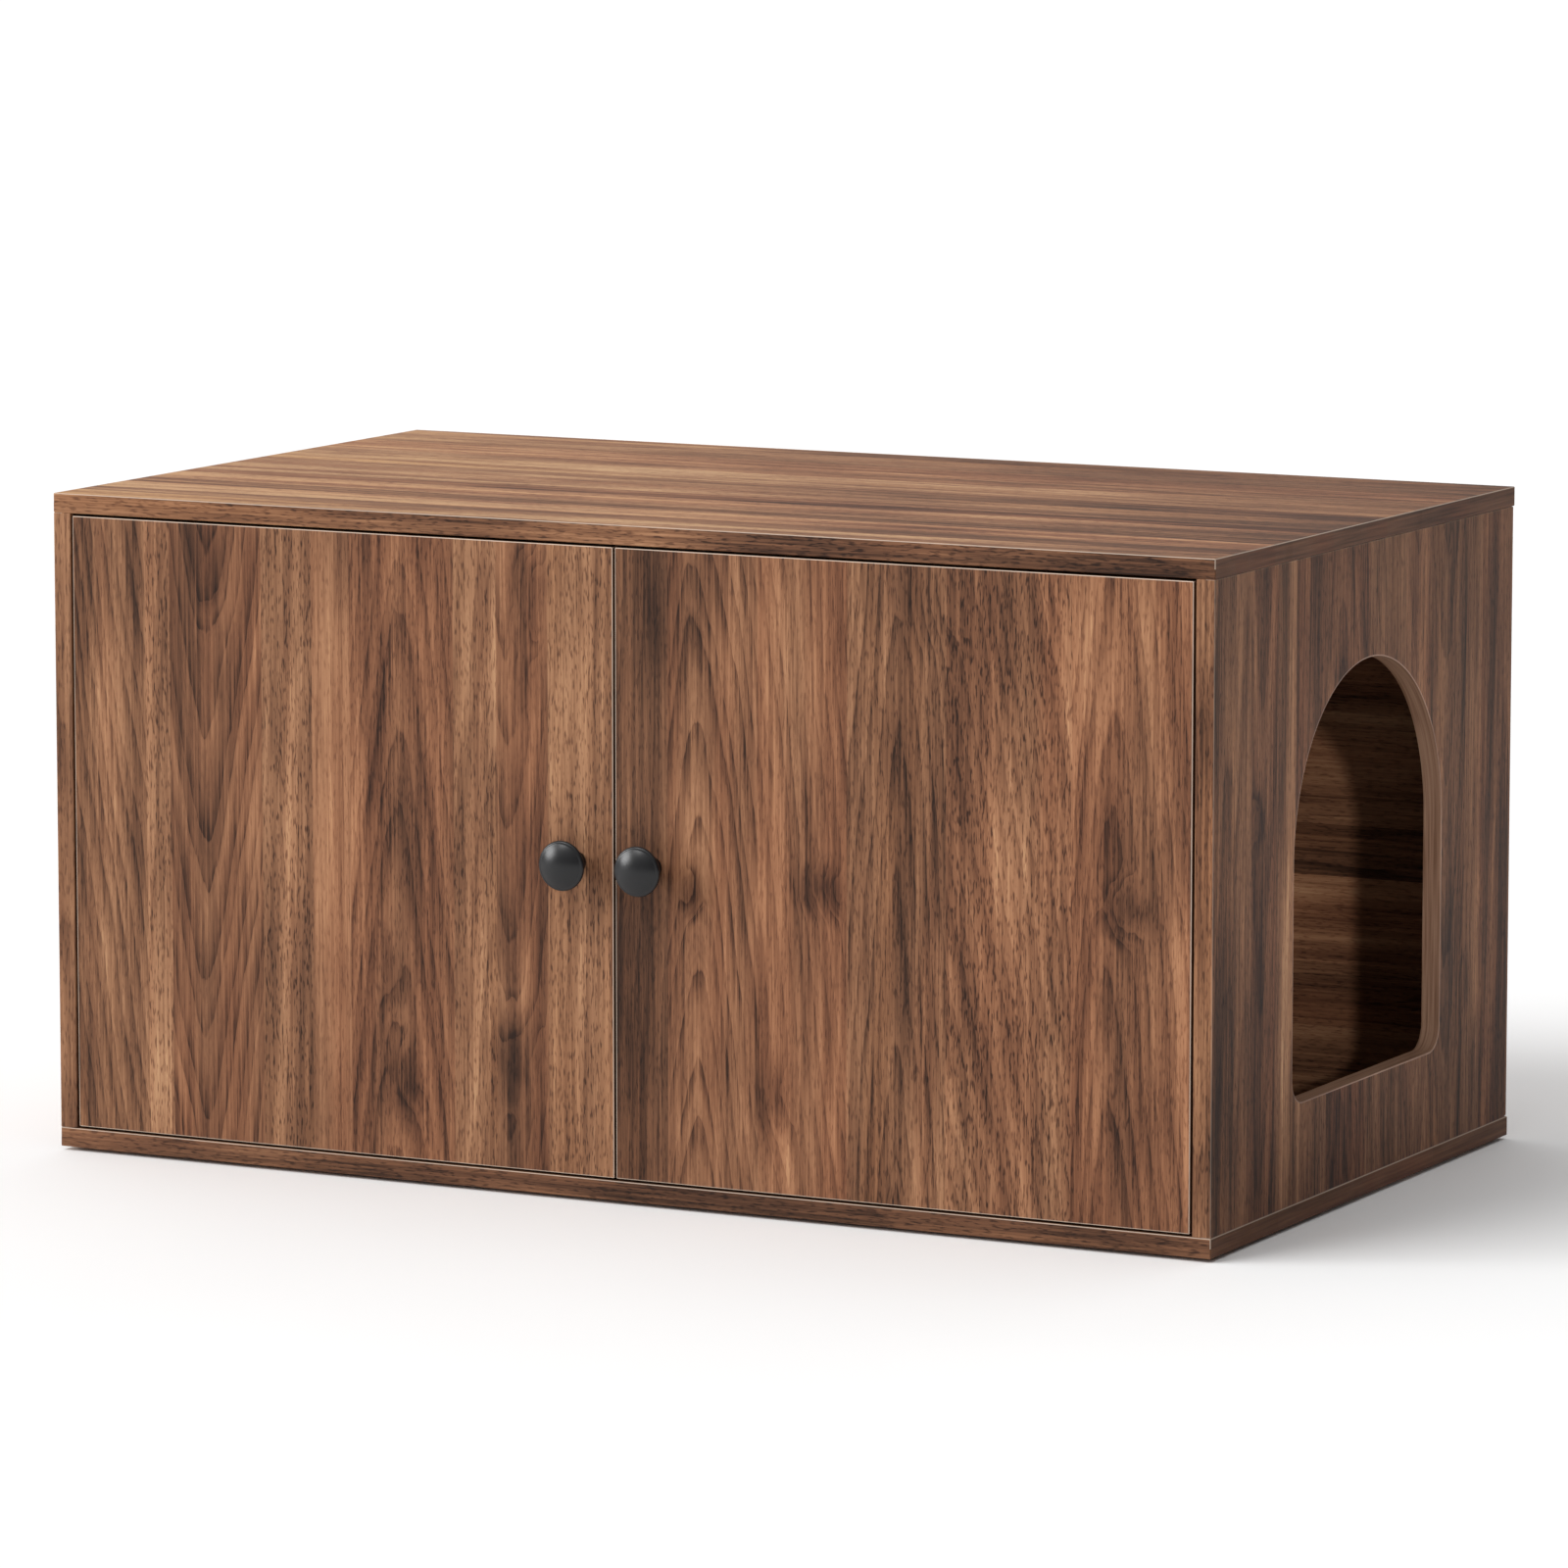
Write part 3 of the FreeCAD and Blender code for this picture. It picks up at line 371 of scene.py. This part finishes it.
# ---- where each board's planks and knots lie ----
boards = {
    "left_door": dict(
        grain=2, across=0, seed=1.0, edge=0.8, highlightSide=-1, paintedGapShade=0.65,
        planks=[
            (63, -0.02, -44, 14, 0.15, 1.2, 0.4), (23, 0.08, 40, 20, 0.05, 0.4, 1.0),
            (81, -0.09, 3, 10, -0.16, 1.3, 0.2), (44, -0.02, 70, 20, 0.04, 0.4, 1.0),
            (33, 0.01, 70, 20, 0.0, 0.2, 0.4), (91, -0.07, 8, 16, 0.12, 1.1, 0.5),
            (36, 0.05, 34, 20, 0.08, 0.6, 0.8), (44, -0.09, 2, 10, -0.12, 1.0, 0.3),
            (57, 0.06, 70, 20, 0.03, 0.3, 0.9),
        ],
        knots=[
            (165, 205, 24, 54, 0.24, 12), (163, 144, 16, 50, 0.18, 8), (154, -156, 30, 66, 0.22, 12),
            (45, -95, 16, 60, 0.18, 8), (58, -182, 24, 50, 0.22, 10), (-108, 150, 30, 90, 0.05, 4),
        ],
    ),
    "right_door": dict(
        grain=2, across=0, seed=4.0, toneAndPaintedLight=-0.01, edge=0.8, highlightSide=-1, paintedGapShade=0.65,
        planks=[
            (44, -0.19, 60, 20, 0.03, 0.4, 0.4), (76, -0.04, -3, 10, 0.15, 1.5, 0.3),
            (74, -0.02, -40, 14, 0.11, 0.9, 0.4), (81, -0.03, 12, 8, 0.08, 1.4, 0.6),
            (101, -0.04, -60, 20, 0.2, 0.9, 1.0), (97, 0.0, -2, 14, 0.09, 1.1, 0.5),
        ],
        knots=[
            (-66, -6, 34, 32, 0.26, 12), (-172, -16, 13, 30, 0.26, 8), (-102, -170, 22, 60, 0.22, 8),
            (182, -2, 26, 32, 0.12, 14), (20, 215, 30, 60, 0.12, 8), (126, -75, 20, 70, 0.06, 5),
        ],
    ),
    "top_panel": dict(
        # painted light: the top is lighter as it faces the light from above, and darker to the right as the
        # light falls off; its front tape is set darker
        grain=0, across=1, seed=7.0, toneAndPaintedLight=0.10, paintedFalloff=-0.4, tape=-0.27, vivid=1.3, edge=0.6,
        planks=[
            (34, 0.10, 30, 30, 0.02, 0.7, 0.7), (26, -0.06, 10, 20, -0.03, 0.8, 0.5),
            (44, 0.16, 50, 50, 0.01, 0.6, 0.7), (30, -0.10, -20, 30, 0.03, 0.9, 0.6),
            (52, 0.08, 40, 40, 0.01, 0.6, 0.8), (24, -0.14, 5, 20, -0.03, 0.9, 0.4),
            (60, 0.05, 30, 40, 0.02, 0.6, 0.7), (40, -0.08, 0, 30, 0.02, 0.8, 0.5),
            (66, 0.12, 20, 40, -0.02, 0.7, 0.6), (36, -0.04, 10, 30, 0.02, 0.7, 0.6),
            (58, 0.06, 30, 30, 0.01, 0.8, 0.6), (90, -0.06, 20, 40, 0.02, 0.7, 0.6),
        ],
    ),
    "bottom_panel": dict(
        grain=0, across=1, seed=9.0, tape=-0.16, edge=0.6,
        planks=[
            (120, -0.02, 30, 30, 0.02, 0.7, 0.6), (140, -0.05, 10, 20, -0.03, 0.8, 0.6),
            (150, 0.05, 50, 50, 0.01, 0.6, 0.6), (150, 0.0, -20, 30, 0.03, 0.8, 0.6),
        ],
    ),
    "right_side_panel": dict(
        # painted shade: the right side is darkened as it lies out of the light; its front tape is lightened
        # back
        grain=2, across=1, seed=12.0, toneAndPaintedLight=-0.12, tape=0.15, vivid=1.35, edge=0.2,
        planks=[
            (36, -0.08, 20, 30, 0.04, 0.8, 0.6), (30, 0.04, 20, 30, 0.04, 0.6, 0.6),
            (44, -0.06, 10, 24, -0.05, 0.8, 0.6), (34, 0.08, 50, 50, 0.02, 0.5, 0.5),
            (60, -0.03, 50, 50, 0.02, 0.7, 0.6), (75, -0.05, 0, 24, 0.09, 1.0, 0.6),
            (70, 0.02, -40, 40, 0.06, 0.7, 0.6), (46, 0.06, 10, 20, -0.09, 0.8, 0.5),
            (70, -0.01, 10, 20, -0.09, 1.0, 0.6), (30, 0.1, 30, 40, 0.03, 0.5, 0.5),
            (60, 0.0, 30, 40, 0.03, 0.7, 0.6),
        ],
        knots=[
            (190, -120, 20, 40, 0.06, 10), (-200, 60, 16, 40, 0.06, 8),
        ],
    ),
    "left_side_panel": dict(
        grain=2, across=1, seed=15.0, tape=0.05, edge=0.2, highlightSide=-1,
        planks=[
            (80, -0.04, 20, 30, 0.04, 0.8, 0.6), (90, 0.06, 10, 24, -0.05, 0.9, 0.6),
            (70, -0.08, 50, 50, 0.02, 0.7, 0.6), (95, 0.05, 0, 24, 0.05, 1.0, 0.7),
            (100, -0.03, -40, 40, 0.03, 0.8, 0.6), (120, 0.06, 10, 20, -0.05, 0.9, 0.6),
        ],
    ),
    "back_panel": dict(
        grain=0, across=2, seed=18.0, toneAndPaintedLight=-0.02, edge=0.2,
        planks=[
            (60, 0.05, 30, 30, 0.02, 0.7, 0.5), (50, -0.07, 10, 20, -0.03, 0.8, 0.5),
            (70, 0.08, 50, 50, 0.01, 0.6, 0.5), (40, -0.08, -20, 30, 0.03, 0.8, 0.5),
            (90, 0.04, 10, 40, 0.02, 0.7, 0.5), (50, -0.06, 0, 30, 0.02, 0.8, 0.5),
            (120, 0.03, 20, 40, 0.02, 0.7, 0.5),
        ],
    ),
}
for node, layout in boards.items():
    material = walnutBoard("walnutMelamine_" + node, node, **layout)
    nodes[node].data.materials.clear()
    nodes[node].data.materials.append(material)
print("boards finished:", len(boards))


# ---- plain fittings ----
def metal(name, colour, roughness, cell, spread):
    # cell is the size of the finish's mottle in mm; spread is how far it changes the roughness
    material, tree = emptyMaterial(name)
    place = addNode(tree, "TexCoord").outputs["Object"]
    grain = addNode(tree, "TexNoise", {"Vector": place, "Scale": 1000 / cell, "Detail": 3.0})
    rough = addNode(tree, "MapRange", {
        "Value": grain, "To Min": roughness - spread, "To Max": roughness + spread,
    })
    base, lighter = linearColour(colour), linearColour("#ffffff")
    tint = addNode(tree, "MixRGB", [grain, base, lighter], blend_type="SOFT_LIGHT")
    tint = addNode(tree, "MixRGB", [0.85, tint, base])
    return finishMaterial(material, tree, {"Base Color": tint, "Metallic": 1.0, "Roughness": rough})


def plastic(name, colour, roughness, cell):
    # moulded with a fine spark-eroded grain
    material, tree = emptyMaterial(name)
    place = addNode(tree, "TexCoord").outputs["Object"]
    grain = addNode(tree, "TexNoise", {"Vector": place, "Scale": 1000 / cell, "Detail": 2.0})
    base, lighter = linearColour(colour), linearColour("#6a6a6a")
    tint = addNode(tree, "MixRGB", [grain, base, lighter], blend_type="OVERLAY")
    tint = addNode(tree, "MixRGB", [0.8, tint, base])
    bump = addNode(tree, "Bump", {"Height": grain, "Distance": 0.00004, "Strength": 0.5})
    return finishMaterial(material, tree, {"Base Color": tint, "Roughness": roughness, "Normal": bump})


def beech(name):
    # turned and fluted beech: pale, pinkish, with short dark flecks along the pin
    material, tree = emptyMaterial(name)
    place = addNode(tree, "TexCoord").outputs["Object"]
    mapped = addNode(tree, "Mapping", {"Vector": place, "Scale": (1800, 1800, 160)})
    flecks = addNode(tree, "TexNoise", {"Vector": mapped, "Scale": 1.0, "Detail": 2.0})
    tint = fillRamp(addNode(tree, "ValToRGB", [flecks]), [
        (0.35, linearColour("#b98d63")), (0.5, linearColour("#d9b48c")), (0.7, linearColour("#e3c6a2")),
    ])
    return finishMaterial(material, tree, {"Base Color": tint, "Roughness": 0.65})


def edgeBand(name):
    # ABS tape round the arch: printed to match, a little pinker and lighter than the face
    material, tree = emptyMaterial(name)
    place = addNode(tree, "TexCoord").outputs["Object"]
    mapped = addNode(tree, "Mapping", {"Vector": place, "Scale": (700, 14, 14)})
    grain = addNode(tree, "TexNoise", {"Vector": mapped, "Scale": 1.0, "Detail": 3.0})
    tint = fillRamp(addNode(tree, "ValToRGB", [grain]), [
        (0.3, linearColour("#75533f")), (0.5, linearColour("#93705a")), (0.7, linearColour("#a5826a")),
    ])
    return finishMaterial(material, tree, {"Base Color": tint, "Roughness": 0.45})


finishes = {
    "nickel_plated_steel": metal("nickelPlatedSteel", "#c9c5bd", 0.24, 3.0, 0.05),
    "zinc_plated_steel": metal("zincPlatedSteel", "#c3c8cc", 0.34, 1.5, 0.08),
    "zinc_casting": metal("zincDieCasting", "#a9abad", 0.45, 2.0, 0.08),
    "magnet": metal("nickelPlatedMagnet", "#b4b3b0", 0.3, 2.0, 0.05),
    "black_plastic": plastic("blackMouldedPolypropylene", "#191919", 0.48, 0.8),
    "beech_dowel": beech("flutedBeech"),
    "edge_band": edgeBand("absEdgeBand"),
}
slotOf = {row["node"]: row["material_slot"] for row in frame["record"]["subparts"]}
for node, slot in slotOf.items():
    if slot in finishes:
        nodes[node].data.materials.clear()
        nodes[node].data.materials.append(finishes[slot])
print("fittings finished")


# ---- knobs ----
knobLook = {
    "headRadius": 19.0,         # mm, down to softEdge
    "projection": 30.0,
    "rim": 4.0,
    "dome": 4.5,
    "neck": 6.5,
    "foot": 8.0,
    "softEdge": 2.0,
    "segments": 96,             # round the axis
    "colour": "#141416",
    "darkColour": "#101012",    # of its faint cloud
    "roughness": 0.3,
    "peelSpread": 0.04,         # how far the orange peel changes it
    "gloss": 0.42,
}


def knobFinish(name):
    # satin black powder coat on zinc: near-black, with a broad soft sheen and a fine orange peel
    material, tree = emptyMaterial(name)
    place = addNode(tree, "TexCoord").outputs["Object"]
    peel = addNode(tree, "TexNoise", {"Vector": place, "Scale": 1400.0, "Detail": 2.0})
    cloud = addNode(tree, "TexNoise", {"Vector": place, "Scale": 90.0, "Detail": 2.0})
    tint = fillRamp(addNode(tree, "ValToRGB", [cloud]), [
        (0.3, linearColour(knobLook["darkColour"])), (0.7, linearColour(knobLook["colour"])),
    ])
    roughness, spread = knobLook["roughness"], knobLook["peelSpread"]
    rough = addNode(tree, "MapRange", {
        "Value": peel, "To Min": roughness - spread, "To Max": roughness + spread,
    })
    bump = addNode(tree, "Bump", {"Height": peel, "Distance": 0.00002, "Strength": 0.5})
    return finishMaterial(material, tree, {
        "Base Color": tint, "Roughness": rough, "Normal": bump, "Specular IOR Level": knobLook["gloss"],
    })


def knobOutline():
    # radius and height of the turned outline in mm: foot, hollow waist, head's underside, rim, domed face
    look = knobLook
    faceEdge = look["projection"] - look["dome"]
    under = faceEdge - look["rim"]
    soft = look["softEdge"]
    edge = look["headRadius"] - soft
    waist = under / 2
    s = np.linspace(0, 1, 12)
    foot = np.stack([look["foot"] + (look["neck"] - look["foot"]) * s, waist * s], 1)
    turn = s * math.pi / 2
    flare = np.stack([
        look["neck"] + (edge - look["neck"]) * (1 - np.cos(turn)),
        waist + (under - waist) * np.sin(turn),
    ], 1)
    lower = np.stack([edge + soft * np.sin(turn), under + soft - soft * np.cos(turn)], 1)
    upper = np.stack([edge + soft * np.cos(turn), faceEdge - soft + soft * np.sin(turn)], 1)
    ball = (edge ** 2 + look["dome"] ** 2) / (2 * look["dome"])
    reach = edge * (1 - np.linspace(0, 1, 24))
    dome = np.stack([reach, look["projection"] - ball + np.sqrt(ball ** 2 - reach ** 2)], 1)
    centre = np.array([[0.0, 0.0]])
    return np.concatenate([centre, foot, flare[1:], lower[1:], upper, dome[1:]])


def turnedKnob(name, node, body, material):
    # the outline carried round an axis that points out of the door
    outline = knobOutline() / 1000
    low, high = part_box(node)
    axisX, axisZ, seat = (low.x + high.x) / 2, (low.z + high.z) / 2, high.y
    angle = np.arange(knobLook["segments"]) * 2 * math.pi / knobLook["segments"]
    radius, level = outline[:, :1], outline[:, 1:]
    points = np.stack([
        axisX + radius * np.cos(angle), seat - level + 0 * angle, axisZ + radius * np.sin(angle),
    ], -1)
    piece = gridMesh(name, points, closedAround=True, material=material)
    welded(piece)
    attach(piece, body)
    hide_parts(node)


satinBlack = knobFinish("satinBlackPowderCoat")
for side in ("left", "right"):
    turnedKnob(side + "KnobTurned", side + "_knob", side + "_door", satinBlack)
print("knobs turned")


# ---- floor, light, camera ----
studio = {
    "floor": 40.0,              # radius, m
    "floorColour": "#fdfdfd",
    "floorDark": "#fbfbfb",     # of its faint cloud
    "skyLow": 0.16,             # brightness at the horizon
    "skyRise": 1.05,            # and what the zenith adds
    "skyRightLoss": 0.9,        # share that is lost to the right
    "key": dict(turn=-30, up=48, strength=0.9, soft=24),    # degrees to the right of the front, and up
    "side": dict(turn=-58, up=18, strength=1.75, soft=26),  # low from the left, for the knobs' sheen
    "spot": dict(turn=41, up=14, strength=340, soft=0.16, away=3.0, cone=5.6),  # through the arch: W, m
    "spotAim": (0.48, 0.01, 0.25),                          # m
}


def whiteFloor():
    # round sheet: radius times the direction, on a grid of radii and angles
    radius = np.array([0.0, 0.5, 1, 2, 4, 10, 20, studio["floor"]])[:, None]
    angle = np.linspace(2 * math.pi, 0, 64, endpoint=False)[None, :]
    points = np.stack([radius * np.cos(angle), radius * np.sin(angle), 0 * radius * angle], -1)
    material, tree = emptyMaterial("whitePaperSweep")
    place = addNode(tree, "TexCoord").outputs["Object"]
    cloud = addNode(tree, "TexNoise", {"Vector": place, "Scale": 2.0, "Detail": 2.0})
    tint = fillRamp(addNode(tree, "ValToRGB", [cloud]), [
        (0.3, linearColour(studio["floorDark"])), (0.7, linearColour(studio["floorColour"])),
    ])
    finishMaterial(material, tree, {"Base Color": tint, "Roughness": 0.9})
    floor = gridMesh("paperFloor", points, closedAround=True, material=material)
    print("floor faces up:", floor.data.polygons[70].normal.z > 0)


def sunLamp(name, turn, up, strength, soft):
    lamp = bpy.data.lights.new(name, "SUN")
    lamp.energy = strength
    lamp.angle = math.radians(soft)
    sun = bpy.data.objects.new(name, lamp)
    scene.collection.objects.link(sun)
    sun.rotation_euler = (math.radians(90 - up), 0, math.radians(turn))


def spotLamp(name, aim, turn, up, strength, soft, away, cone):
    lamp = bpy.data.lights.new(name, "SPOT")
    lamp.energy = strength
    lamp.shadow_soft_size = soft
    lamp.spot_size = math.radians(cone)
    lamp.spot_blend = 0.9
    spot = bpy.data.objects.new(name, lamp)
    scene.collection.objects.link(spot)
    turn, up = math.radians(turn), math.radians(up)
    towards = np.array([math.sin(turn) * math.cos(up), -math.cos(turn) * math.cos(up), math.sin(up)])
    spot.location = np.array(aim) + away * towards
    spot.rotation_euler = (math.pi / 2 - up, 0, turn)


def softLight():
    # a sky that brightens upwards and darkens to the right, two soft suns, and a spot into the arch
    world = bpy.data.worlds.new("paleSky")
    scene.world = world
    world.use_nodes = True
    tree = world.node_tree
    side, _, up = addNode(tree, "SeparateXYZ", [addNode(tree, "TexCoord").outputs["Generated"]]).outputs
    up = addNode(tree, "Math", [up, 0.0], operation="MAXIMUM")
    side = addNode(tree, "Math", [side, 0.0], operation="MAXIMUM")
    level = addNode(tree, "Math", [up, studio["skyRise"], studio["skyLow"]], operation="MULTIPLY_ADD")
    kept = addNode(tree, "Math", [side, -studio["skyRightLoss"], 1.0], operation="MULTIPLY_ADD")
    level = addNode(tree, "Math", [level, kept], operation="MULTIPLY")
    tree.nodes["Background"].inputs["Color"].default_value = (1, 1, 1, 1)
    tree.links.new(level.outputs[0], tree.nodes["Background"].inputs["Strength"])
    sunLamp("keyLight", **studio["key"])
    sunLamp("sideLight", **studio["side"])
    spotLamp("archLight", studio["spotAim"], **studio["spot"])


cameraPlace = {
    "aim": (-0.0024, 0.015, 0.2835),   # m
    "turn": 27.37,                     # degrees to the right of the front
    "pitch": 8.04,                     # degrees down
    "distance": 6.4477,
    "lens": 190.9,                     # mm
    "sensor": 36.0,                    # mm
}


def photoCamera():
    data = bpy.data.cameras.new("photoCamera")
    data.lens = cameraPlace["lens"]
    data.sensor_width = cameraPlace["sensor"]
    data.clip_end = 200.0
    camera = bpy.data.objects.new("photoCamera", data)
    scene.collection.objects.link(camera)
    turn, pitch = math.radians(cameraPlace["turn"]), math.radians(cameraPlace["pitch"])
    away = np.array([math.sin(turn) * math.cos(pitch), -math.cos(turn) * math.cos(pitch), math.sin(pitch)])
    camera.location = np.array(cameraPlace["aim"]) + cameraPlace["distance"] * away
    camera.rotation_euler = (math.pi / 2 - pitch, 0, turn)
    scene.camera = camera


whiteFloor()
softLight()
photoCamera()
print("studio set")
